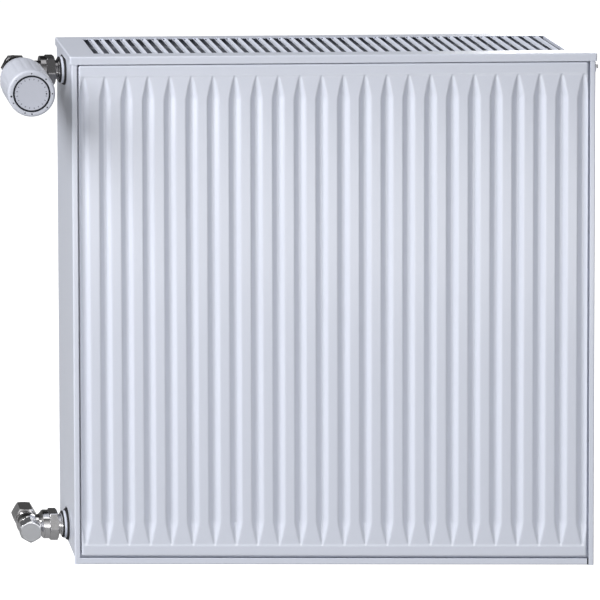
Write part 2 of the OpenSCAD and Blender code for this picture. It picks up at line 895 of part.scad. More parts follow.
module lockshield_body() {
    color(nickel) forwards(lock_x, z_low) difference() {
        union() {
            sphere(13.5);
            rod(12, -12, 4);
            nut_block(lock_af, -lock_inlet_end, -11);
            rod(lock_neck_r, 0, lock_neck_end);
            rotate([0, 90, 0]) arm(lock_reach, cap_start - gap);
        }
        rod(thread_r, -lock_inlet_end - over, socket_len - lock_inlet_end);
        rod(lock_seat_r, -lock_inlet_end, lock_seat + over);
        rod(lock_chamber_r, lock_seat, lock_neck_end + over);
        translate([-1.3, -lock_chamber_r - 0.9, lock_seat])
            cube([2.6, 2 * lock_chamber_r + 1.8, lock_neck_end - lock_seat + over]);
        rotate([0, 90, 0]) arm_bore(lock_reach, lock_seat_r + 2.5, water_r - 0.5);
    }
}

module lockshield_bonnet() {
    color(brass) forwards(lock_x, z_low) difference() {
        union() {
            rod(lock_chamber_r - fit, bonnet_low, lock_neck_end);
            hex_rod(17, lock_neck_end, lock_neck_end + bonnet_t);
        }
        rod(spindle_r + fit, bonnet_low - over, lock_neck_end + bonnet_t + over);
    }
}

module lockshield_spindle() {
    low = bonnet_low - gap - 1;
    color(brass) forwards(lock_x, z_low) difference() {
        union() {
            rod(spindle_r, low, spindle_end);
            rod(spindle_r + 1.8, low, low + 1);
            rod(screw_r, lock_seat + lock_lift + 0.5, low);
        }
        hex_rod(5, spindle_end - 5, spindle_end + over);
        difference() {
            rod(spindle_r + 1, 8.5, 10.1);
            rod(spindle_r - 1.2, 8, 11);
        }
    }
}

module spindle_seal() {
    color(rubber) forwards(lock_x, z_low) ring(spindle_r - 0.57, 0.62, 9.3);
}

module lockshield_plug() {
    low = lock_seat + lock_lift;
    color(brass) forwards(lock_x, z_low) difference() {
        union() {
            rotate_extrude() polygon([[0, low], [plug_r - 0.6, low], [plug_r, low + 0.6],
                [plug_r, low + plug_h - 0.3], [plug_r - 0.3, low + plug_h], [0, low + plug_h]]);
            translate([-1, -lock_chamber_r - 0.6, low + 1])
                cube([2, 2 * lock_chamber_r + 1.2, plug_h - 1]);
        }
        rod(screw_r + fit, low - over, low + plug_h + over);
    }
}

module lockshield_cap() {
    inner = lock_neck_r + fit;
    washer_top = lock_neck_end + bonnet_t + washer_t;
    color(nickel) forwards(lock_x, z_low) difference() {
        intersection() {
            rotate([0, 0, 30]) hex_rod(cap_af, 0, cap_end);
            rotate_extrude() polygon([[0, cap_start], [cap_r, cap_start], [cap_r, cap_end - 1],
                [cap_r - 1.8, cap_end], [0, cap_end]]);
        }
        rod(inner, cap_start - over, washer_top);
        rod(spindle_r + 2, cap_start, cap_end - 2);
    }
}

module cap_washer() {
    low = lock_neck_end + bonnet_t;
    color(rubber) forwards(lock_x, z_low) difference() {
        rod(lock_neck_r - 0.4, low, low + washer_t);
        rod(spindle_r + 1, low - over, low + washer_t + over);
    }
}

front_panel_outer();
front_panel_inner();
rear_panel_inner();
rear_panel_outer();
front_convector();
rear_convector();
tee_flow();
tee_return();
tee_vent();
tee_blank();
top_grille();
grille_clips();
side_cover_left();
side_cover_right();
cover_grommets();
bottom_trim();
hanging_lugs();
vent_body();
plug_seals();
vent_swivel();
bleed_screw();
bleed_seal();
blank_plug();
tails();
tail_washers();
tail_seals();
union_nuts();
trv_body();
trv_insert();
trv_gland();
gland_seal();
trv_stem();
trv_disc();
return_spring();
ring_nut();
head_base();
sensor_carrier();
sensor_capsule();
push_pin();
overtravel_spring();
handle();
handle_ring();
handle_cap();
lockshield_body();
lockshield_bonnet();
lockshield_spindle();
spindle_seal();
lockshield_plug();
lockshield_cap();
cap_washer();
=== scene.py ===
import json
import math
import bpy
import bmesh
import numpy as np
from mathutils import Matrix, Vector


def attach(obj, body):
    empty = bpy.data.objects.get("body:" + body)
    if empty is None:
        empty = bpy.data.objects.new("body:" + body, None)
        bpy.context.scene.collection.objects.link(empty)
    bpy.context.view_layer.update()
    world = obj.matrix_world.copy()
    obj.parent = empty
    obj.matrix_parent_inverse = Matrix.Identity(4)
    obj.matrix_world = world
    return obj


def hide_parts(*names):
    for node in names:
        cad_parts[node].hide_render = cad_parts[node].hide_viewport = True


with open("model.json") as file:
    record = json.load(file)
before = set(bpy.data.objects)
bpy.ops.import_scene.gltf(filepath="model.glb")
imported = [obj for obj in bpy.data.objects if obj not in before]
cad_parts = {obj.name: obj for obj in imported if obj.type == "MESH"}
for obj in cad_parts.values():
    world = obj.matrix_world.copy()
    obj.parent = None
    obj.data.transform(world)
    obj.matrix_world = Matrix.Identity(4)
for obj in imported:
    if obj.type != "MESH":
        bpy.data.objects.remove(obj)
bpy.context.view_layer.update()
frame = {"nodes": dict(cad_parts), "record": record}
nodes = frame["nodes"]
mm = 0.001
print("frame loaded", len(nodes), "nodes")

radiator = {
    "length": 600, "height": 600, "depth": 100, "top": 27, "lowTap": -546,
    "sheet": 1.2, "channel": 5.0, "pitch": 24.75, "coverStep": 2, "lip": 6.1,
    "faceGap": 1.9, "topGap": 1.0, "skirt": 9.2, "trim": 7.7, "cover": 1.0, "bend": 1.8,
}
valves = {"trvX": -353.6, "lockX": -344.4, "y": -50, "boss": 303}


# ---- materials

def newGroup(name, inputs, outputs):
    group = bpy.data.node_groups.new(name, "ShaderNodeTree")
    for label, kind in inputs:
        group.interface.new_socket(label, in_out="INPUT", socket_type=kind)
    for label, kind in outputs:
        group.interface.new_socket(label, in_out="OUTPUT", socket_type=kind)
    return group, group.nodes.new("NodeGroupInput"), group.nodes.new("NodeGroupOutput")


def addNode(tree, kind, links=(), **values):
    node = tree.nodes.new(kind)
    for key, value in values.items():
        setattr(node, key, value)
    for socket, source in links:
        if isinstance(source, bpy.types.NodeSocket):
            tree.links.new(source, node.inputs[socket])
        else:
            node.inputs[socket].default_value = source
    return node


def surfaceGroup():
    # fine relief and a slow drift of tone, shared by enamel, metal and plastic
    group, gin, gout = newGroup("surface drift", [
        ("Colour", "NodeSocketColor"), ("Drift", "NodeSocketFloat"),
        ("Drift Size", "NodeSocketFloat"), ("Grain Size", "NodeSocketFloat"),
        ("Rough Low", "NodeSocketFloat"), ("Rough High", "NodeSocketFloat")],
        [("Colour", "NodeSocketColor"), ("Roughness", "NodeSocketFloat"),
         ("Height", "NodeSocketFloat")])
    where = addNode(group, "ShaderNodeTexCoord")
    slow = addNode(group, "ShaderNodeTexNoise", [("Vector", where.outputs["Object"]),
                   ("Scale", gin.outputs["Drift Size"]), ("Detail", 3.0)])
    fine = addNode(group, "ShaderNodeTexNoise", [("Vector", where.outputs["Object"]),
                   ("Scale", gin.outputs["Grain Size"]), ("Detail", 2.0)])
    low = addNode(group, "ShaderNodeMath", [(0, 1.0), (1, gin.outputs["Drift"])],
                  operation="SUBTRACT")
    darker = addNode(group, "ShaderNodeMix", [("Factor", slow.outputs["Fac"]), ("A", 1.0),
                     ("B", low.outputs[0])], data_type="FLOAT")
    tone = addNode(group, "ShaderNodeVectorMath", [(0, gin.outputs["Colour"]),
                   ("Scale", darker.outputs["Result"])], operation="SCALE")
    rough = addNode(group, "ShaderNodeMix", [("Factor", slow.outputs["Fac"]),
                    ("A", gin.outputs["Rough Low"]), ("B", gin.outputs["Rough High"])],
                    data_type="FLOAT")
    group.links.new(tone.outputs[0], gout.inputs["Colour"])
    group.links.new(rough.outputs["Result"], gout.inputs["Roughness"])
    group.links.new(fine.outputs["Fac"], gout.inputs["Height"])
    return group


# raised edges take rub marks; sunk corners take a near-black painted shade
wearAndShade = {"raised": (0.52, 0.62), "sunk": (0.49, 0.40), "cornerShade": (0.05, 0.045, 0.04, 1)}


def edgeGroup():
    # bright rub marks on edges, and painted shade darkening the sunk corners, from how the
    # surface turns
    group, gin, gout = newGroup("edge rub and corner shade", [
        ("Colour", "NodeSocketColor"), ("Rub Colour", "NodeSocketColor"),
        ("Rub", "NodeSocketFloat"), ("Corner Shade", "NodeSocketFloat")],
        [("Colour", "NodeSocketColor")])
    shape = addNode(group, "ShaderNodeNewGeometry")
    colour = gin.outputs["Colour"]
    for span, amount, over in ((wearAndShade["raised"], "Rub", gin.outputs["Rub Colour"]),
                               (wearAndShade["sunk"], "Corner Shade", wearAndShade["cornerShade"])):
        mask = addNode(group, "ShaderNodeMapRange", [("Value", shape.outputs["Pointiness"]),
                       ("From Min", span[0]), ("From Max", span[1])])
        share = addNode(group, "ShaderNodeMath", [(0, mask.outputs["Result"]),
                        (1, gin.outputs[amount])], operation="MULTIPLY")
        mixed = addNode(group, "ShaderNodeMix", [("Factor", share.outputs[0]), (6, colour),
                        (7, over)], data_type="RGBA")  # 6 and 7 are the colours A and B
        colour = mixed.outputs[2]
    group.links.new(colour, gout.inputs["Colour"])
    return group


surfaceDrift = surfaceGroup()
edgeRubAndShade = edgeGroup()


plain = {"drift": 0.03, "driftSize": 8, "grainSize": 900, "bump": 0.05, "relief": 0.00002,
         "metal": 0, "specular": 0.5, "coat": 0, "coatRough": 0.1}


def finish(name, look):
    look = {**plain, **look}
    material = bpy.data.materials.new(name)
    material.use_nodes = True
    tree = material.node_tree
    shader = tree.nodes["Principled BSDF"]
    drift = addNode(tree, "ShaderNodeGroup", [
        ("Colour", (*look["colour"], 1)), ("Drift", look["drift"]),
        ("Drift Size", look["driftSize"]), ("Grain Size", look["grainSize"]),
        ("Rough Low", look["rough"][0]), ("Rough High", look["rough"][1])],
        node_tree=surfaceDrift)
    colour = drift.outputs["Colour"]
    if "rub" in look:
        edge = addNode(tree, "ShaderNodeGroup", [
            ("Colour", colour), ("Rub Colour", (*look["rubColour"], 1)),
            ("Rub", look["rub"]), ("Corner Shade", look["cornerShade"])], node_tree=edgeRubAndShade)
        colour = edge.outputs["Colour"]
    bump = addNode(tree, "ShaderNodeBump", [("Strength", look["bump"]),
                   ("Distance", look["relief"]), ("Height", drift.outputs["Height"])])
    tree.links.new(colour, shader.inputs["Base Color"])
    tree.links.new(drift.outputs["Roughness"], shader.inputs["Roughness"])
    tree.links.new(bump.outputs["Normal"], shader.inputs["Normal"])
    shader.inputs["Metallic"].default_value = look["metal"]
    shader.inputs["Specular IOR Level"].default_value = look["specular"]
    shader.inputs["Coat Weight"].default_value = look["coat"]
    shader.inputs["Coat Roughness"].default_value = look["coatRough"]
    return material


# for the metals the last value is how dark the painted shade in their sunk corners is
looks = {
    "enamel": {"colour": (0.735, 0.768, 0.868), "rough": (0.26, 0.32), "drift": 0.02,
               "driftSize": 3, "grainSize": 420, "bump": 0.10, "relief": 0.00003, "coat": 0.4,
               "coatRough": 0.2},
    # the convectors' darker enamel, also used as painted shade on the panels' insides
    "convectorEnamelAndInsideShade": {"colour": (0.30, 0.315, 0.36), "rough": (0.42, 0.55), "drift": 0.10,
                        "driftSize": 14, "grainSize": 500, "bump": 0.15, "specular": 0.4},
    "nickel": {"colour": (0.90, 0.89, 0.90), "rough": (0.10, 0.20), "drift": 0.3,
               "driftSize": 90, "grainSize": 900, "bump": 0.2, "relief": 0.00004, "metal": 1.0,
               "rub": 0.5, "rubColour": (0.85, 0.84, 0.86), "cornerShade": 0.8},
    # nickel painted darker as shade, for the upper valve lying in the head's shadow
    "shadedNickel": {"colour": (0.30, 0.295, 0.305), "rough": (0.13, 0.26), "drift": 0.4,
                   "driftSize": 90, "grainSize": 900, "bump": 0.2, "relief": 0.00004,
                   "metal": 1.0, "rub": 0.5, "rubColour": (0.34, 0.33, 0.34), "cornerShade": 0.8},
    "capNickel": {"colour": (0.69, 0.70, 0.73), "rough": (0.34, 0.46), "drift": 0.08,
                  "driftSize": 80, "grainSize": 1800, "bump": 0.1, "metal": 1.0,
                  "rub": 0.3, "rubColour": (0.66, 0.66, 0.68), "cornerShade": 0.35},
    "brass": {"colour": (0.62, 0.46, 0.20), "rough": (0.26, 0.40), "drift": 0.12,
              "driftSize": 90, "grainSize": 1500, "bump": 0.1, "metal": 1.0,
              "rub": 0.3, "rubColour": (0.8, 0.66, 0.36), "cornerShade": 0.3},
    "springSteel": {"colour": (0.46, 0.47, 0.49), "rough": (0.26, 0.38), "drift": 0.1,
                    "driftSize": 90, "grainSize": 1200, "bump": 0.08, "metal": 1.0},
    "rubber": {"colour": (0.025, 0.025, 0.028), "rough": (0.6, 0.75), "drift": 0.2,
               "driftSize": 120, "grainSize": 1600, "bump": 0.2, "specular": 0.35},
    "whitePlastic": {"colour": (0.60, 0.622, 0.70), "rough": (0.36, 0.44), "drift": 0.02,
                     "driftSize": 30, "grainSize": 2600, "bump": 0.12},
    "discPlastic": {"colour": (0.55, 0.57, 0.65), "rough": (0.42, 0.5), "drift": 0.03,
                    "driftSize": 60, "grainSize": 3200, "bump": 0.15},
    "darkPlastic": {"colour": (0.010, 0.012, 0.018), "rough": (0.40, 0.5), "drift": 0.1,
                    "driftSize": 60, "grainSize": 2600, "bump": 0.15, "specular": 0.2},
    "printInk": {"colour": (0.02, 0.022, 0.03), "rough": (0.5, 0.6), "drift": 0.05,
                 "driftSize": 200, "grainSize": 3000, "specular": 0.2},
    "faintInk": {"colour": (0.16, 0.17, 0.21), "rough": (0.5, 0.6), "drift": 0.05,
                 "driftSize": 200, "grainSize": 3000},
}
paint = {name: finish(name, look) for name, look in looks.items()}

slotPaint = {"enamel": "enamel", "convector_enamel": "convectorEnamelAndInsideShade", "nickel": "nickel",
             "cap_nickel": "capNickel", "brass": "brass", "spring_steel": "springSteel",
             "rubber": "rubber", "white_plastic": "whitePlastic", "dark_plastic": "darkPlastic"}
# nodes painted darker than their slot's finish to stand for shade: the upper valve body in the
# head's shadow, and the panels' insides seen through the grille
shadedNodes = {"trv_body": "shadedNickel", "rear_panel_inner": "convectorEnamelAndInsideShade",
             "front_panel_inner": "convectorEnamelAndInsideShade"}
for part in frame["record"]["subparts"]:
    obj = nodes[part["node"]]
    for slot in obj.material_slots:
        slot.material = paint[shadedNodes.get(part["node"], slotPaint[part["material_slot"]])]
print("materials", len(paint))


# ---- helpers

weld = {"same": 1e-7, "turned": 2e-6}  # metres
quarter = np.radians(np.linspace(0, 90, 7))  # the steps of a bent sheet's edge


def makePiece(name, points, faces, look, sharp=40):
    mesh = bpy.data.meshes.new(name)
    mesh.from_pydata([tuple(p) for p in points], [], [tuple(f) for f in faces])
    mesh.materials.append(paint[look])
    work = bmesh.new()
    work.from_mesh(mesh)
    bmesh.ops.remove_doubles(work, verts=work.verts, dist=weld["same"])
    bmesh.ops.recalc_face_normals(work, faces=work.faces)
    work.to_mesh(mesh)
    work.free()
    obj = bpy.data.objects.new(name, mesh)
    bpy.context.scene.collection.objects.link(obj)
    smoothPiece(obj, sharp)
    return obj


def smoothPiece(obj, sharp=40):
    mesh = obj.data
    mesh.polygons.foreach_set("use_smooth", [True] * len(mesh.polygons))
    mesh.set_sharp_from_angle(angle=math.radians(sharp))
    mesh.update()


def bakeModifiers(obj):
    # turns the evaluated object into a plain mesh
    shown = obj.evaluated_get(bpy.context.evaluated_depsgraph_get())
    mesh = bpy.data.meshes.new_from_object(shown)
    obj.modifiers.clear()
    old = obj.data
    obj.data = mesh
    if old.users == 0:
        bpy.data.meshes.remove(old)


def bevelPiece(obj, width, segments, angle):
    mod = obj.modifiers.new("edges", "BEVEL")
    mod.width = width * mm
    mod.segments = segments
    mod.limit_method = "ANGLE"
    mod.angle_limit = math.radians(angle)
    mod.harden_normals = False
    bakeModifiers(obj)


def cutPiece(obj, cutter):
    mod = obj.modifiers.new("cut", "BOOLEAN")
    mod.operation = "DIFFERENCE"
    mod.solver = "EXACT"
    mod.object = cutter
    bakeModifiers(obj)
    bpy.data.objects.remove(cutter)


def turned(name, outline, look, place, steps=96, ripple=None, sharp=35):
    # outline is a list of (radius, along); it starts and ends on the axis, or closes on itself
    points, faces = [], []
    closed = outline[0][0] > 1e-6
    count = len(outline)
    for j in range(steps):
        a = 2 * math.pi * j / steps
        for r, s in outline:
            q = r - (ripple(r, s, a) if ripple else 0)
            points.append(place @ Vector((q * math.cos(a), q * math.sin(a), s)) * mm)
    for j in range(steps):
        k = (j + 1) % steps
        for i in range(count if closed else count - 1):
            n = (i + 1) % count
            faces.append((j * count + i, j * count + n, k * count + n, k * count + i))
    piece = makePiece(name, [], [], look)
    work = bmesh.new()
    verts = [work.verts.new(p) for p in points]
    for f in faces:
        work.faces.new([verts[i] for i in f])
    bmesh.ops.remove_doubles(work, verts=work.verts, dist=weld["turned"])
    bmesh.ops.dissolve_degenerate(work, edges=work.edges, dist=weld["same"])
    bmesh.ops.recalc_face_normals(work, faces=work.faces)
    work.to_mesh(piece.data)
    work.free()
    smoothPiece(piece, sharp)
    return piece


def forwards(x, z):
    # a valve's own frame: its third axis points out of the wall
    return Matrix.Translation((x, valves["y"], z)) @ Matrix.Rotation(math.pi / 2, 4, "X")


def outwards(side, z):
    # a union's own frame: its third axis points out of the radiator's left or right side
    return (Matrix.Translation((side * valves["boss"], valves["y"], z))
            @ Matrix.Rotation(side * math.pi / 2, 4, "Y"))


def extruded(name, outline, look, toWorld, start, end, sharp=35):
    # closed outline of (a, b) pairs pushed along a third direction
    count = len(outline)
    points = [Vector(toWorld(a, b, start)) * mm for a, b in outline]
    points += [Vector(toWorld(a, b, end)) * mm for a, b in outline]
    faces = [tuple(range(count)), tuple(range(2 * count - 1, count - 1, -1))]
    faces += [(i, (i + 1) % count, count + (i + 1) % count, count + i) for i in range(count)]
    return makePiece(name, points, faces, look, sharp)


def arc(cx, cy, r, a0, a1, n=6):
    return [(cx + r * math.cos(math.radians(a0 + (a1 - a0) * i / n)),
             cy + r * math.sin(math.radians(a0 + (a1 - a0) * i / n))) for i in range(n + 1)]


def boxPiece(name, low, high, look="enamel"):
    (x0, y0, z0), (x1, y1, z1) = low, high
    points = [Vector((x, y, z)) * mm for x in (x0, x1) for y in (y0, y1) for z in (z0, z1)]
    faces = [(0, 1, 3, 2), (4, 6, 7, 5), (0, 4, 5, 1), (2, 3, 7, 6), (0, 2, 6, 4), (1, 5, 7, 3)]
    return makePiece(name, points, faces, look)


def shellFaces(nx, ny, hole=None):
    # faces of two grids, one behind the other, closed round the rim and round a hole
    count, faces = nx * ny, []
    for j in range(ny - 1):
        for i in range(nx - 1):
            if (i, j) == hole:
                continue
            a = j * nx + i
            faces.append((a, a + 1, a + nx + 1, a + nx))
            faces.append((count + a, count + a + nx, count + a + nx + 1, count + a + 1))
    loops = [list(range(nx)) + [j * nx + nx - 1 for j in range(1, ny)]
             + [(ny - 1) * nx + i for i in range(nx - 2, -1, -1)]
             + [j * nx for j in range(ny - 2, 0, -1)]]
    if hole:
        a = hole[1] * nx + hole[0]
        loops.append([a + nx, a + nx + 1, a + 1, a])
    for loop in loops:
        for p, q in zip(loop, loop[1:] + loop[:1]):
            faces.append((p, count + p, count + q, q))
    return faces


def roundCorners(x, y, halfX, halfY, radius):
    # draws a grid's square corners in to arcs; x and y are measured from the middle
    inX, inY = halfX - np.abs(x), halfY - np.abs(y)
    u = np.clip((radius - inX) / radius, 0, 1)
    v = np.clip((radius - inY) / radius, 0, 1)
    near = (np.minimum(inX, inY) >= -1e-6) & (np.maximum(inX, inY) < radius)
    newX = halfX - radius + radius * u * np.sqrt(1 - v * v / 2)
    newY = halfY - radius + radius * v * np.sqrt(1 - u * u / 2)
    return np.where(near, np.sign(x) * newX, x), np.where(near, np.sign(y) * newY, y)


# ---- pressed faces

face = {"edgeRadius": 2.5, "plainBand": 13, "taper": 27, "flatTop": 11, "grooveFlat": 2,
        "softness": 1.0, "stepDown": 0.45, "stepLength": 2.2, "stepIn": 0.5,
        "cornerRadius": 3.2, "cornerRows": (3.2, 6), "keepOff": 0.25, "sharp": 50,
        "columns": (0, .7, 1.3, 2, 3, 4.2, 5.2, 5.9, 6.6, 7.3, 8, 9.4),
        "firstRows": (-1.5, 6, 7), "taperRows": (8, 31, 11), "middleRows": (50, 9)}


def softStep(v):
    return v * v * (3 - 2 * v)


def pressedFace(name, side):
    # side -1 looks into the room, +1 towards the wall
    r, s = radiator, face
    halfW = r["length"] / 2 - r["coverStep"] - r["lip"] - r["faceGap"]
    top = r["top"] - r["skirt"] - r["topGap"]
    low = r["top"] - r["height"] + r["trim"] + r["faceGap"]
    flangeX = r["length"] / 2 - r["coverStep"] - r["cover"]
    flangeTop = r["top"] - 2 * r["cover"]
    flangeLow = r["top"] - r["height"] + r["cover"]
    full = r["sheet"] + r["channel"]
    channels = 2 * int((2 * halfW / r["pitch"] - 1) / 2) + 1
    centres = (np.arange(channels + 1) - channels / 2) * r["pitch"]
    slope = (r["pitch"] - s["flatTop"] - s["grooveFlat"]) / (2 * r["channel"])
    edgeIn = np.concatenate([[0, 0], s["edgeRadius"] * (1 - np.cos(quarter[1:]))])
    edgeUp = np.concatenate([[r["sheet"], full - s["edgeRadius"]],
                             full - s["edgeRadius"] * (1 - np.sin(quarter[1:]))])
    offsets = np.array([*s["columns"], r["pitch"] / 2])
    inner = np.unique(np.round(np.concatenate([c + sign * offsets for c in centres
                                               for sign in (-1, 1)]), 4))
    inner = inner[np.abs(inner) < halfW - s["edgeRadius"] - s["keepOff"]]
    grooveTop, grooveLow = top - s["plainBand"], low + s["plainBand"]
    run = np.concatenate([np.linspace(*s["firstRows"]), np.linspace(*s["taperRows"])])
    gap, middle = s["middleRows"]
    cornerRows = np.array(s["cornerRows"])
    rows = np.concatenate([grooveTop - run, grooveLow + run,
                           np.linspace(grooveLow + gap, grooveTop - gap, middle),
                           top - cornerRows, low + cornerRows])
    rows = np.unique(np.round(rows, 4))

    def axis(limit0, limit1, flange0, flange1, middle):
        pos = np.concatenate([[flange0], limit0 + edgeIn, middle, (limit1 - edgeIn)[::-1],
                              [flange1]])
        up = np.concatenate([[r["sheet"]], edgeUp, np.full(len(middle), full), edgeUp[::-1],
                             [r["sheet"]]])
        return pos, up

    xs, upX = axis(-halfW, halfW, -flangeX, flangeX, inner)
    zs, upZ = axis(low, top, flangeLow, flangeTop, rows)
    gridX, gridZ = np.meshgrid(xs, zs)
    edge = np.minimum(*np.meshgrid(upX, upZ))
    near = np.abs(gridX[..., None] - centres).min(-1)
    inside = np.minimum(grooveTop - gridZ, gridZ - grooveLow)
    deep = np.clip(inside / s["taper"], 0, 1) * r["channel"]
    raw = (s["grooveFlat"] / 2 + slope * deep - near) / slope

    def soften(v, k):
        return np.where(v > k, v, np.where(v < -k, 0, (v + k) ** 2 / (4 * k)))

    k = np.maximum(np.minimum(s["softness"], deep / 2), 1e-4)
    depth = deep - soften(deep - soften(raw, k), k)
    stepAt = np.clip((inside - s["stepIn"]) / s["stepLength"] + 0.5, 0, 1)
    depth = (np.maximum(depth, 0) * (1 - s["stepDown"] / r["channel"])
             + s["stepDown"] * softStep(stepAt))
    up = np.maximum(np.minimum(edge, full - depth), np.minimum(edge, r["sheet"]))
    mid = (top + low) / 2
    gridX, gridZ = roundCorners(gridX, gridZ - mid, halfW, top - mid, s["cornerRadius"])
    seam = -r["depth"] + full if side < 0 else -full
    front = np.stack([gridX, seam + side * up, gridZ + mid], -1).reshape(-1, 3)
    back = front.copy()
    back[:, 1] -= side * r["sheet"]
    nz, nx = gridX.shape
    return makePiece(name, np.concatenate([front, back]) * mm, shellFaces(nx, nz), "enamel",
                     s["sharp"])


frontFace = pressedFace("front_face", -1)
rearFace = pressedFace("rear_face", 1)
print("pressed faces", len(frontFace.data.polygons))

# ---- top grille

grille = {"slotPitch": 12.375, "slots": 44, "slotLength": 72, "slotBack": 1.5, "corner": 2.6,
          "endLip": (0.8, 1, 4), "margin": 0.01}
bar = {"width": 5.6, "sheet": 0.8, "turnDown": 0.6, "valley": 2.2, "valleyAt": -0.6,
       "valleyHalf": 0.1, "valleyWall": 0.8, "left": ((0, -0.7), (0.2, -0.3)),
       "right": ((0.7, -0.02), (0.2, -0.02), (0, -0.3))}
windowX = (grille["slots"] * grille["slotPitch"] - bar["width"]) / 2


def barOutline():
    # each bar is pressed into a shallow trough with a raised right edge
    h, t, at, flat = bar["width"] / 2, bar["sheet"], bar["valleyAt"], bar["valleyHalf"]
    low = -radiator["cover"] - bar["turnDown"]
    return ([(-h, low)] + [(-h + x, y) for x, y in bar["left"]]
            + [(at - flat, -bar["valley"]), (at + flat, -bar["valley"])]
            + [(h - x, y) for x, y in bar["right"]]
            + [(h, low), (h - t, low), (at, -bar["valley"] - bar["valleyWall"]), (-h + t, low)])


def copyTree(name, sockets):
    # a tree that will stand copies of the mesh; sockets are what else it is told
    tree = bpy.data.node_groups.new(name, "GeometryNodeTree")
    ids = {}
    for label, kind in (("Geometry", "NodeSocketGeometry"), *sockets):
        ids[label] = tree.interface.new_socket(label, in_out="INPUT", socket_type=kind).identifier
    tree.interface.new_socket("Geometry", in_out="OUTPUT", socket_type="NodeSocketGeometry")
    return tree, ids, tree.nodes.new("NodeGroupInput"), tree.nodes.new("NodeGroupOutput")


def standCopies(tree, gin, gout, points, look, *turn):
    spread = addNode(tree, "GeometryNodeInstanceOnPoints", [("Points", points),
                     ("Instance", gin.outputs["Geometry"]), *turn])
    real = addNode(tree, "GeometryNodeRealizeInstances",
                   [("Geometry", spread.outputs["Instances"])])
    dress = addNode(tree, "GeometryNodeSetMaterial", [("Geometry", real.outputs["Geometry"]),
                    ("Material", paint[look])])
    tree.links.new(dress.outputs["Geometry"], gout.inputs["Geometry"])


def applyTree(obj, tree, ids, values):
    mod = obj.modifiers.new("copies", "NODES")
    mod.node_group = tree
    for label, value in values.items():
        mod[ids[label]] = value
    bakeModifiers(obj)


def repeated(obj, look, count, start, step):
    # stands count copies in a row
    tree, ids, gin, gout = copyTree(obj.name + " row", (
        ("Count", "NodeSocketInt"), ("Start", "NodeSocketVector"), ("Step", "NodeSocketVector")))
    line = addNode(tree, "GeometryNodeMeshLine", [("Count", gin.outputs["Count"]),
                   ("Start Location", gin.outputs["Start"]), ("Offset", gin.outputs["Step"])])
    standCopies(tree, gin, gout, line.outputs["Mesh"], look)
    applyTree(obj, tree, ids, {"Count": count, "Start": [v * mm for v in start],
                               "Step": [v * mm for v in step]})
    smoothPiece(obj)


def lidPiece():
    r, g = radiator, grille
    bend, half, deep = r["bend"], r["length"] / 2, r["depth"] / 2
    inwards = np.concatenate([[0], bend * (1 - np.cos(quarter))])
    drop = np.concatenate([[-r["skirt"]], -bend * (1 - np.sin(quarter))])
    windowY = g["slotLength"] / 2

    def axis(limit, window, shift=0):
        pos = np.concatenate([-limit + inwards, [shift - window, shift + window],
                              (limit - inwards)[::-1]])
        z = np.concatenate([drop, [0, 0], drop[::-1]])
        return pos, z

    def shell(inset):
        # the outer skin, or the inner one drawn in and down by the sheet
        xs, zx = axis(half, windowX)
        ys, zy = axis(deep, windowY, g["slotBack"])
        gx, gy = np.meshgrid(xs, ys)
        gz = np.minimum(*np.meshgrid(zx, zy))
        gx, gy = roundCorners(gx, gy, half, deep, g["corner"])
        past = ((np.abs(gx) > windowX + g["margin"])
                | (np.abs(gy - g["slotBack"]) > windowY + g["margin"]))
        gx = np.where(past, gx * (half - inset) / half, gx)
        gy = np.where(past, gy * (deep - inset) / deep, gy)
        gz = np.where(gz <= -r["skirt"] + 1e-6, -r["skirt"], gz - inset)
        return np.stack([gx, gy + valves["y"], gz + r["top"]], -1)

    outer, inner = shell(0), shell(r["cover"])
    ny, nx = outer.shape[:2]
    points = np.concatenate([outer.reshape(-1, 3), inner.reshape(-1, 3)]) * mm
    return makePiece("grille_lid", points, shellFaces(nx, ny, (nx // 2 - 1, ny // 2 - 1)),
                     "enamel", face["sharp"])


slotFront = valves["y"] + grille["slotBack"] - grille["slotLength"] / 2
slotRear = slotFront + grille["slotLength"]


def acrossSlots(name, outline):
    return extruded(name, outline, "enamel", lambda a, b, t: (a, t, b + radiator["top"]),
                    slotFront, slotRear)


grilleLid = lidPiece()
bars = acrossSlots("grille_bars", barOutline())
repeated(bars, "enamel", grille["slots"] - 1,
         (-(grille["slots"] - 2) / 2 * grille["slotPitch"], 0, 0), (grille["slotPitch"], 0, 0))
lipWide, lipTop, lipLow = grille["endLip"]
endLips = acrossSlots("grille_end_lips", [(-lipWide, -lipLow), (-lipWide, -lipTop), (0, -lipTop),
                                          (0, -lipLow)])
repeated(endLips, "enamel", 2, (-windowX, 0, 0), (2 * windowX + lipWide, 0, 0))
print("grille", len(bars.data.polygons))

# ---- side covers and the strip under the face

sides = {"wallLift": 8.8, "holeRadius": 17.3, "holeRise": 2.2, "drill": (-8, 4), "lipDrop": 0.3,
         "tongueIn": 4, "tongueTop": 1.3, "notch": (1, -1.5, 5), "edge": 0.22, "edgeSteps": 2,
         "edgeAngle": 35}


def coverOutline():
    # seen from above, for the left side; from the front lip's end round the wall to the rear lip
    r = radiator
    x0, x1 = -r["length"] / 2 + r["coverStep"], -r["length"] / 2 + r["coverStep"] + r["lip"]
    y0, b, t = -r["depth"], r["bend"], r["cover"]
    outline = arc(x1 - t / 2, y0 + t / 2, t / 2, 90, -90, 6)
    outline += arc(x0 + b, y0 + b, b, 270, 180, 8) + arc(x0 + b, -b, b, 180, 90, 8)
    outline += arc(x1 - t / 2, -t / 2, t / 2, 90, -90, 6)
    outline += arc(x0 + b, -b, b - t, 90, 180, 6) + arc(x0 + b, y0 + b, b - t, 180, 270, 6)
    return outline


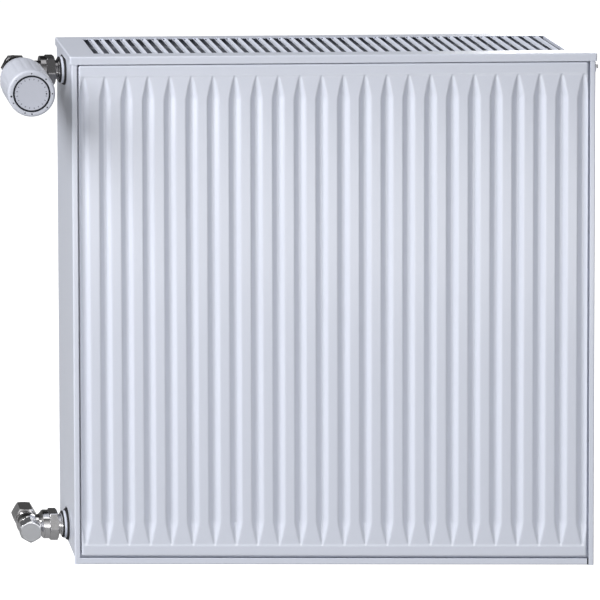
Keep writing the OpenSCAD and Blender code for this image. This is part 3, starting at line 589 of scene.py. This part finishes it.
def sideCover(name, side):
    r, s = radiator, sides
    low, lipTop = r["top"] - r["height"], r["top"] - r["skirt"] - s["lipDrop"]
    cover = extruded(name, coverOutline(), "enamel",
                     lambda a, b, t: (-side * a, b, t), low, lipTop)
    wallX = side * (r["length"] / 2 - r["coverStep"])
    # the wall stops short of the lips at the bottom
    outer, inner, below = s["notch"]
    xs = sorted((wallX + side * outer, wallX + side * inner))
    cutPiece(cover, boxPiece("notch", (xs[0], -r["depth"] + r["bend"], low - below),
                             (xs[1], -r["bend"], low + s["wallLift"])))
    # two drillings for each hole, one a little higher
    for z in (0, s["holeRise"], r["lowTap"], r["lowTap"] + s["holeRise"]):
        start, end = s["drill"]
        cutPiece(cover, turned("drill", [(0, start), (s["holeRadius"], start),
                                         (s["holeRadius"], end), (0, end)], "enamel",
                               outwards(side, z)))
    xs = sorted((wallX, wallX - side * r["cover"]))
    tongue = boxPiece("tongue", (xs[0], -r["depth"] + s["tongueIn"], lipTop),
                      (xs[1], -s["tongueIn"], r["top"] - s["tongueTop"]))
    work = bmesh.new()
    work.from_mesh(cover.data)
    work.from_mesh(tongue.data)
    work.to_mesh(cover.data)
    work.free()
    bpy.data.objects.remove(tongue)
    bevelPiece(cover, s["edge"], s["edgeSteps"], s["edgeAngle"])
    smoothPiece(cover)
    return cover


leftCover = sideCover("left_cover", -1)
rightCover = sideCover("right_cover", 1)


strip = {"deep": 8.4, "rear": 7, "tuck": 0.45}
clip = {"setBack": 1.2, "thick": 1.0, "reach": 1.6, "lift": 0.05, "topGap": 0.5, "lap": 0.1}


def alongX(name, outline, look, start, end):
    return extruded(name, outline, look, lambda a, b, t: (t, a, b), start, end)


def trimPiece():
    r = radiator
    low, b, t = r["top"] - r["height"], r["bend"], r["cover"]
    y0, y1, z1 = -r["depth"], -r["depth"] + strip["deep"], low + strip["rear"]
    outline = arc(y0 + t / 2, low + r["trim"] - t / 2, t / 2, 0, 180, 6)
    outline += arc(y0 + b, low + b, b, 180, 270, 8) + [(y1, low), (y1, z1)]
    outline += [(y1 - t, z1), (y1 - t, low + t)] + arc(y0 + b, low + b, b - t, 270, 180, 6)
    lipX = r["length"] / 2 - r["coverStep"] - r["lip"]
    return alongX("lower_strip", outline, "enamel", -lipX - strip["tuck"], lipX - r["faceGap"])


def gapShadePiece():
    # a tab behind the cover's lip closes the strip's right end; its black is painted shade that
    # darkens the gap there
    r = radiator
    low = r["top"] - r["height"]
    y0 = -r["depth"] + clip["setBack"]
    y1, z0, z1 = y0 + clip["thick"], low + clip["lift"], low + r["trim"] - clip["topGap"]
    lipX = r["length"] / 2 - r["coverStep"] - r["lip"]
    return alongX("strip_gap_shade", [(y1, z0), (y1, z1), (y0, z1), (y0, z0)], "darkPlastic",
                  lipX - r["faceGap"] - clip["lap"], lipX + clip["reach"])


lowerStrip = trimPiece()
gapShadeClip = gapShadePiece()
print("covers")

# ---- thermostatic head

head = {"rearRadius": 23.5, "widest": 27.25, "frontRadius": 26.9, "start": 36, "end": 110.85,
        "shoulder": 22, "closing": 80, "rim": 3.0, "recessRadius": 21.1, "recess": 108,
        "flutes": 18, "fluteDepth": 0.42, "fluteStart": 4, "fluteIn": 5, "fluteEnd": 7,
        "fluteOut": 6, "sharpness": 6, "skin": 22.2, "rows": 40, "firstRow": 1.2,
        "plainFront": 0.5, "recessFoot": (0.3, 0.2), "recessEdge": 0.35,
        "backEdge": ((0.25, 0.35), (0.9, 0)),
        "inside": ((21.6, 36), (21.1, 36.5), (21.1, 52), (23.5, 100), (22.5, 106), (0, 106))}
headPlace = forwards(valves["trvX"], 0)


def handlePiece():
    h = head
    recess, end, rim = h["recessRadius"], h["end"], h["rim"]
    (footIn, footUp), edge = h["recessFoot"], h["recessEdge"]
    outline = [(0, h["recess"]), (recess - footIn, h["recess"]),
               (recess, h["recess"] + footUp), (recess, end - edge)]
    outline += arc(recess + edge, end - edge, edge, 180, 90, 3)
    outline += arc(h["frontRadius"] - rim, end - rim, rim, 90, 4, 8)
    bulgeEnd = end - rim
    for i in range(1, h["rows"] + 1):
        s = bulgeEnd - (bulgeEnd - h["start"] - h["firstRow"]) * i / h["rows"]
        # a barrel: quick rise behind, long full middle, slight closing towards the front
        back = min(1, (s - h["start"]) / h["shoulder"])
        front = max(0, (s - h["closing"]) / (bulgeEnd - h["closing"]))
        r = h["rearRadius"] + (h["widest"] - h["rearRadius"]) * math.sin(back * math.pi / 2)
        outline.append((r - (h["widest"] - h["frontRadius"]) * front * front, s))
    outline += [(h["rearRadius"] - inwards, h["start"] + up) for inwards, up in h["backEdge"]]
    outline += h["inside"]

    def flute(r, s, a):
        if r < h["skin"] or s > end - h["plainFront"]:
            return 0
        ends = min((s - h["start"] - h["fluteStart"]) / h["fluteIn"],
                   (end - h["fluteEnd"] - s) / h["fluteOut"])
        wave = abs(math.cos(a * h["flutes"] / 2)) ** h["sharpness"]
        return h["fluteDepth"] * softStep(max(0, min(1, ends))) * wave

    return turned("handle_shell", outline, "whitePlastic", headPlace, h["flutes"] * 12, flute)


dial = {"ring": (19.4, 21.0), "ringAlong": (108.1, 110.7), "ringEdge": 0.25, "faceRadius": 19.3,
        "faceAlong": (108.05, 110.6), "faceEdge": 0.5, "hollow": ((17.6, 110.6), (17.3, 110.45)),
        "steps": 144}
ticks = {"low": (-1.1, -0.42, 110.3), "high": (1.1, 0.42, 110.52), "count": 20, "out": 16.9}
marks = {"sink": 0.15, "thick": 0.12, "shoulder": (0.8, 0.6), "steps": 16, "out": 23.2,
         "height": head["end"],
         "dots": ((0, 0.8), (46, 0.85), (90, 0.75), (139, 0.55), (187, 1.15), (207, 0.75),
                  (250.5, 0.85), (270, 0.9), (318, 0.85)),
         "pointerOut": 16.75, "pointerHeight": 110.45, "pointerDots": ((0, 0.95),)}


def ringPiece():
    (inR, outR), (low, high), edge = dial["ring"], dial["ringAlong"], dial["ringEdge"]
    outline = [(inR, low), (outR, low), (outR, high)]
    outline += arc(outR - edge, high, edge, 0, 90, 3) + arc(inR + edge, high, edge, 90, 180, 3)
    return turned("dial_ring", outline, "darkPlastic", headPlace, dial["steps"])


def dialPiece():
    radius, (low, high), edge = dial["faceRadius"], dial["faceAlong"], dial["faceEdge"]
    outline = [(0, low), (radius, low), (radius, high - edge)]
    outline += arc(radius - edge, high - edge, edge, 0, 90, 4)
    outline += [*dial["hollow"], (0, dial["hollow"][-1][1])]
    return turned("dial_face", outline, "discPlastic", headPlace, dial["steps"])


def toHead(piece):
    shift = headPlace.copy()
    shift.translation = headPlace.translation * mm
    piece.data.transform(shift)
    smoothPiece(piece)
    return piece


def ringOf(obj, look, count, radius, first):
    # stands count copies on a ring, the first one turned by the angle first
    tree, ids, gin, gout = copyTree(obj.name + " ring", (
        ("Count", "NodeSocketInt"), ("Radius", "NodeSocketFloat"), ("First", "NodeSocketFloat")))
    line = addNode(tree, "GeometryNodeMeshLine", [("Count", gin.outputs["Count"]),
                   ("Offset", (0, 0, 0))])
    index = addNode(tree, "GeometryNodeInputIndex")
    part = addNode(tree, "ShaderNodeMath", [(0, index.outputs[0]), (1, gin.outputs["Count"])],
                   operation="DIVIDE")
    angle = addNode(tree, "ShaderNodeMath", [(0, part.outputs[0]), (1, 2 * math.pi),
                    (2, gin.outputs["First"])], operation="MULTIPLY_ADD")
    turn = addNode(tree, "ShaderNodeCombineXYZ", [("Z", angle.outputs[0])])
    out = addNode(tree, "ShaderNodeCombineXYZ", [("X", gin.outputs["Radius"])])
    swing = addNode(tree, "ShaderNodeVectorRotate", [("Vector", out.outputs[0]),
                    ("Rotation", turn.outputs[0])], rotation_type="EULER_XYZ")
    moved = addNode(tree, "GeometryNodeSetPosition", [("Geometry", line.outputs["Mesh"]),
                    ("Position", swing.outputs[0])])
    standCopies(tree, gin, gout, moved.outputs["Geometry"], look, ("Rotation", turn.outputs[0]))
    applyTree(obj, tree, ids, {"Count": count, "Radius": radius * mm, "First": first})


def dotPiece(name, radius, s):
    # a small pad standing at height s on its own axis
    low, high = s - marks["sink"], s + marks["thick"]
    across, up = marks["shoulder"]
    return turned(name, [(0, low), (radius, low), (radius, s + marks["thick"] * up),
                         (radius * across, high), (0, high)], "printInk",
                  Matrix.Identity(4), marks["steps"])


def dotsOn(name, height, out, dots):
    # one piece of small pads; each has its angle and its radius
    work = bmesh.new()
    for angle, radius in dots:
        pad = dotPiece(name, radius, height)
        pad.data.transform(Matrix.Rotation(math.radians(angle), 4, "Z")
                           @ Matrix.Translation((out * mm, 0, 0)))
        work.from_mesh(pad.data)
        bpy.data.objects.remove(pad)
    piece = makePiece(name, [], [], "printInk")
    work.to_mesh(piece.data)
    work.free()
    return toHead(piece)


handleShell = handlePiece()
handleRing = ringPiece()
dialFace = dialPiece()
faceTicks = boxPiece("face_ticks", ticks["low"], ticks["high"], "faintInk")
ringOf(faceTicks, "faintInk", ticks["count"], ticks["out"], math.pi / ticks["count"])
toHead(faceTicks)
rimDots = dotsOn("rim_dots", marks["height"], marks["out"], marks["dots"])
pointer = dotsOn("pointer_dot", marks["pointerHeight"], marks["pointerOut"],
                 marks["pointerDots"])
print("head")

# ---- unions of both valves and the lockshield's cap

nut = {"flats": 32, "start": 6.7, "end": 17.4, "lip": 2, "bore": 13.1, "corner": 0.45,
       "face": 15.3, "bevel": 15.9, "bevelEdge": 0.12, "bevelRise": 1.45, "bevelRows": 7,
       "sideRows": 4, "sideIn": 2, "boreEdge": 0.3, "play": 0.3}
tail = {"start": -12, "shank": 11, "collar": 13, "washer": 1.5, "thread": 9.2,
        "threadEdge": 0.8, "fillet": (0.2, 0.3), "passage": 7,
        "face": 10.7, "nose": 10.4, "noseLength": 4.8, "noseEnd": 8.6, "step": 1.3,
        "collarEdge": 0.3, "collarThick": 1.5, "grooves": 3, "grooveAt": 2.4, "groovePitch": 1.1,
        "grooveDepth": 0.14, "groove": (0.12, 0.3, 0.42)}
cap = {"flats": 23.2, "start": 9.9, "end": 23.5, "bore": 10.5, "washerTop": 17, "corner": 0.35,
       "foot": (0.3, 0.5, 0.9), "side": (1.5, 2.5, 5), "wall": 2, "hollow": 7,
       "brow": ((0, 1.6), (0.45, 0.75), (1.3, 0.3)),
       "dish": ((11.1, 0.12), (10.6, 0), (10.2, 0.04)), "rings": 9, "crest": 0.06,
       "trough": 0.1, "middle": 0.08}
hexTurn = {"steps": 144, "sharp": 24}
# the lower casting swells from its neck to the union's seat
swelling = ((9.2, 37), (10.4, 36.6), (10.8, 30.5), (11.6, 28), (15.6, 24.6), (15.6, 23.6),
            (9.2, 23.6))


def hexagon(flats, corner, margin=0.05):
    # how far a turned outline is cut back to leave a hexagon with softened corners
    def cutBack(r, s, a):
        if r < flats / 2 - margin:
            return 0
        side = flats / 2 / math.cos((a + math.pi / 6) % (math.pi / 3) - math.pi / 6)
        return max(0, r - min(side, flats / math.sqrt(3) - corner))
    return cutBack


def unionNut(name, z, look):
    n = nut
    low, high, corner = n["start"], n["end"], n["flats"] / math.sqrt(3)
    shank, rows = tail["shank"] + n["play"], n["bevelRows"]
    side, edge = n["sideIn"], n["boreEdge"]
    # the bevel from the face out to the corners, as radius and distance from the face
    bevel = [(n["bevel"] + (corner - n["bevel"]) * i / rows,
              n["bevelEdge"] + n["bevelRise"] * i / rows) for i in range(rows + 1)]
    outline = [(shank, low), (n["face"], low)] + [(r, low + s) for r, s in bevel]
    outline += [(corner, low + side + (high - low - 2 * side) * i / n["sideRows"])
                for i in range(n["sideRows"] + 1)]
    outline += [(r, high - s) for r, s in bevel[::-1]]
    outline += [(n["face"], high), (n["bore"] + edge, high), (n["bore"], high - edge),
                (n["bore"], low + n["lip"]), (shank, low + n["lip"])]
    return turned(name, outline, look, outwards(-1, z),
                  ripple=hexagon(n["flats"], n["corner"]), **hexTurn)


def unionTail(name, z, look):
    u = tail
    w, lip, shank, collar = u["washer"], nut["start"] + nut["lip"], u["shank"], u["collar"]
    edge, back, first = u["collarEdge"], u["washer"] + u["collarThick"], u["threadEdge"]
    out, along = u["fillet"]
    outline = [(u["passage"], u["start"]), (u["thread"] - first, u["start"]),
               (u["thread"], u["start"] + first), (u["thread"], w), (collar - edge, w),
               (collar, w + edge), (collar, back - edge), (collar - edge, back),
               (shank + out, back), (shank, back + along)]
    for i in range(u["grooves"]):
        at, deep = w + u["grooveAt"] + u["groovePitch"] * i, shank - u["grooveDepth"]
        down, flat, up = u["groove"]
        outline += [(shank, at), (deep, at + down), (deep, at + flat), (shank, at + up)]
    end = u["face"] + u["noseLength"]
    outline += [(shank, lip), (shank + u["step"], lip), (shank + u["step"], u["face"]),
                (u["nose"], u["face"]), (u["noseEnd"], end), (u["passage"], end)]
    return turned(name, outline, look, outwards(-1, z), sharp=30)


def capPiece():
    c = cap
    low, high, corner = c["start"], c["end"], c["flats"] / math.sqrt(3)
    lift, drop, rows = c["side"]
    footIn, footLow, footHigh = c["foot"]
    outline = [(c["bore"], low), (c["flats"] / 2 - footIn, low), (corner - footIn, low + footLow),
               (corner, low + footHigh)]
    outline += [(corner, low + lift + (high - low - lift - drop) * i / rows)
                for i in range(rows + 1)]
    outline += [(corner - inwards, high - down) for inwards, down in c["brow"]]
    outline += [(r, high - down) for r, down in c["dish"]]
    # faint turning rings on the end
    for i in range(c["rings"], 0, -1):
        outline += [(i + 0.5, high - c["crest"]), (i, high - c["trough"])]
    outline += [(0, high - c["middle"]), (0, high - c["wall"]), (c["hollow"], high - c["wall"]),
                (c["hollow"], c["washerTop"]), (c["bore"], c["washerTop"])]
    return turned("lockshield_hexcap", outline, "capNickel",
                  forwards(valves["lockX"], radiator["lowTap"]),
                  ripple=hexagon(c["flats"], c["corner"]), **hexTurn)


# the upper union is painted in the darker nickel as the head's shadow; the lower one is plain
# nickel
upperNut = unionNut("union_nut_upper", 0, "shadedNickel")
lowerNut = unionNut("union_nut_lower", radiator["lowTap"], "nickel")
upperTail = unionTail("union_tail_upper", 0, "shadedNickel")
lowerTail = unionTail("union_tail_lower", radiator["lowTap"], "nickel")
hexCap = capPiece()
shoulder = turned("lockshield_shoulder", swelling, "nickel", outwards(-1, radiator["lowTap"]),
                  sharp=30)
print("unions and cap")

# ---- what rides on what

def place(piece, body, slotName, *replaced):
    # the modifier keeps flats flat to the light between rounded edges
    even = piece.modifiers.new("even shading", "WEIGHTED_NORMAL")
    even.keep_sharp = True
    even.weight = 60
    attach(piece, body)
    if replaced:
        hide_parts(*replaced)


place(frontFace, "radiator", "enamel", "front_panel_outer")
place(rearFace, "radiator", "enamel", "rear_panel_outer")
place(grilleLid, "radiator", "enamel", "top_grille")
place(bars, "radiator", "enamel")
place(endLips, "radiator", "enamel")
place(leftCover, "radiator", "enamel", "side_cover_left")
place(rightCover, "radiator", "enamel", "side_cover_right")
place(lowerStrip, "radiator", "enamel", "bottom_trim")
place(gapShadeClip, "radiator", "dark_plastic")
place(upperNut, "radiator", "nickel", "union_nuts")
place(lowerNut, "radiator", "nickel", "union_nuts")
place(upperTail, "radiator", "nickel", "tails")
place(lowerTail, "radiator", "nickel", "tails")
place(shoulder, "radiator", "nickel")
place(hexCap, "shield_cap", "cap_nickel", "lockshield_cap")
place(handleShell, "knob", "white_plastic", "handle")
place(handleRing, "knob", "dark_plastic", "handle_ring")
place(dialFace, "knob", "white_plastic", "handle_cap")
for piece in (rimDots, faceTicks, pointer):
    place(piece, "knob", "dark_plastic")

# ---- stage, lamps and camera

stage = {"floorDrop": 0.10, "floorSize": 14, "floorColour": (0.33, 0.33, 0.33), "floorRough": 0.9,
         "floorSpecular": 0.1, "floorLift": 0.95, "worldLight": 0.16, "sky": (0.93, 0.96, 1.0, 1),
         "ceilingSpan": (0.25, 0.8), "ceiling": 0.15, "beyondSpan": (-0.15, 0.45), "beyond": 0.10,
         "middle": (0, -0.05, -0.27)}
lamps = [
    {"name": "window", "at": (-2.55, -1.38, 1.70), "size": (1.7, 1.7), "power": 108},
    {"name": "fill", "at": (0.15, -1.1, -0.45), "size": (1.5, 0.26), "power": 3.8},
    {"name": "low side", "at": (-1.6, -0.7, -0.5), "size": (0.6, 0.24), "power": 1.4},
    {"name": "above", "at": (-0.1, -0.4, 2.8), "size": (1.8, 1.8), "power": 15},
    {"name": "behind", "at": (1.7, 2.0, 0.5), "size": (1.6, 1.6), "power": 38},
]


def whiteForCamera(tree, shader, out):
    # the camera and reflections see white where nothing stands
    path = addNode(tree, "ShaderNodeLightPath")
    direct = addNode(tree, "ShaderNodeMath", [(0, path.outputs["Is Camera Ray"]),
                     (1, path.outputs["Is Transmission Ray"])], operation="MAXIMUM")
    seen = addNode(tree, "ShaderNodeMath", [(0, direct.outputs[0]),
                   (1, path.outputs["Is Glossy Ray"])], operation="MAXIMUM")
    # reflections see the white fall off overhead and beyond the wall
    way = addNode(tree, "ShaderNodeTexCoord")
    part = addNode(tree, "ShaderNodeSeparateXYZ", [("Vector", way.outputs["Generated"])])
    fades = []
    for axis, span, least in (("Z", stage["ceilingSpan"], stage["ceiling"]),
                              ("Y", stage["beyondSpan"], stage["beyond"])):
        fades.append(addNode(tree, "ShaderNodeMapRange", [
            ("Value", part.outputs[axis]), ("From Min", span[0]), ("From Max", span[1]),
            ("To Min", 1.0), ("To Max", least)]).outputs["Result"])
    room = addNode(tree, "ShaderNodeMath", list(enumerate(fades)), operation="MULTIPLY")
    level = addNode(tree, "ShaderNodeMath", [(0, room.outputs[0]),
                    (1, direct.outputs[0])], operation="MAXIMUM")
    white = addNode(tree, "ShaderNodeBackground", [("Color", (1, 1, 1, 1)),
                    ("Strength", level.outputs[0])])
    mix = addNode(tree, "ShaderNodeMixShader", [(0, seen.outputs[0]), (1, shader.outputs[0]),
                  (2, white.outputs[0])])
    tree.links.new(mix.outputs[0], out.inputs[0])


def buildWorld():
    world = bpy.data.worlds.new("studio")
    bpy.context.scene.world = world
    world.use_nodes = True
    tree = world.node_tree
    back = tree.nodes["Background"]
    back.inputs["Color"].default_value = stage["sky"]
    back.inputs["Strength"].default_value = stage["worldLight"]
    whiteForCamera(tree, back, tree.nodes["World Output"])


def buildFloor():
    size, low = stage["floorSize"] / 2, (radiator["top"] - radiator["height"]) * mm
    z = low - stage["floorDrop"]
    mesh = bpy.data.meshes.new("floor")
    mesh.from_pydata([(-size, -size, z), (size, -size, z), (size, size, z), (-size, size, z)],
                     [], [(0, 1, 2, 3)])
    floor = bpy.data.objects.new("floor", mesh)
    bpy.context.scene.collection.objects.link(floor)
    material = bpy.data.materials.new("floor")
    material.use_nodes = True
    tree = material.node_tree
    shader = tree.nodes["Principled BSDF"]
    shader.inputs["Base Color"].default_value = (*stage["floorColour"], 1)
    shader.inputs["Roughness"].default_value = stage["floorRough"]
    shader.inputs["Specular IOR Level"].default_value = stage["floorSpecular"]
    # the camera sees the floor lifted to white
    path = addNode(tree, "ShaderNodeLightPath")
    lift = addNode(tree, "ShaderNodeEmission", [("Color", (1, 1, 1, 1)),
                   ("Strength", stage["floorLift"])])
    add = addNode(tree, "ShaderNodeAddShader", [(0, shader.outputs[0]), (1, lift.outputs[0])])
    mix = addNode(tree, "ShaderNodeMixShader", [(0, path.outputs["Is Camera Ray"]),
                  (1, shader.outputs[0]), (2, add.outputs[0])])
    tree.links.new(mix.outputs[0], tree.nodes["Material Output"].inputs[0])
    mesh.materials.append(material)


def buildLamps():
    middle = Vector(stage["middle"])
    for lamp in lamps:
        light = bpy.data.lights.new(lamp["name"], "AREA")
        light.shape = "RECTANGLE"
        light.size, light.size_y = lamp["size"]
        light.energy = lamp["power"]
        obj = bpy.data.objects.new(lamp["name"], light)
        obj.location = lamp["at"]
        obj.rotation_euler = (middle - obj.location).to_track_quat("-Z", "Y").to_euler()
        bpy.context.scene.collection.objects.link(obj)


camera = {"at": (-0.82603, -3.09532, 0.76397), "yaw": 2.59102, "pitch": -3.01866,
          "roll": 1.06581, "focal": 2596.3, "slide": (-810.87, -733.29), "sensor": 36,
          "width": 600, "clip": (0.05, 100)}


def buildCamera():
    # the front keeps its square shape though the view is from above and the left: the empty
    # that holds the lens has axes that lean against each other, and the lens has no shift;
    # focal and slide are in steps of the picture's width over "width"
    c = camera
    turn = (Matrix.Rotation(math.radians(c["yaw"]), 3, "Z")
            @ Matrix.Rotation(math.radians(c["pitch"]), 3, "X")
            @ Matrix.Rotation(math.radians(c["roll"]), 3, "Y"))
    right, ahead, up = turn.col[0], turn.col[1], turn.col[2]
    look = ahead - right * (c["slide"][0] / c["focal"]) + up * (c["slide"][1] / c["focal"])
    stretch = look.length
    back = -look / stretch
    lens = bpy.data.cameras.new("camera")
    lens.sensor_width = c["sensor"]
    lens.lens = c["focal"] * stretch / c["width"] * c["sensor"]
    lens.clip_start, lens.clip_end = c["clip"]
    hold = bpy.data.objects.new("camera_hold", None)
    obj = bpy.data.objects.new("camera", lens)
    for o in (hold, obj):
        bpy.context.scene.collection.objects.link(o)
    obj.parent = hold
    obj.matrix_parent_inverse = Matrix((
        (right.x, up.x, back.x, c["at"][0]), (right.y, up.y, back.y, c["at"][1]),
        (right.z, up.z, back.z, c["at"][2]), (0, 0, 0, 1)))
    bpy.context.scene.camera = obj


buildWorld()
buildFloor()
buildLamps()
buildCamera()
bpy.context.scene.view_settings.view_transform = "Standard"
print("stage and camera")
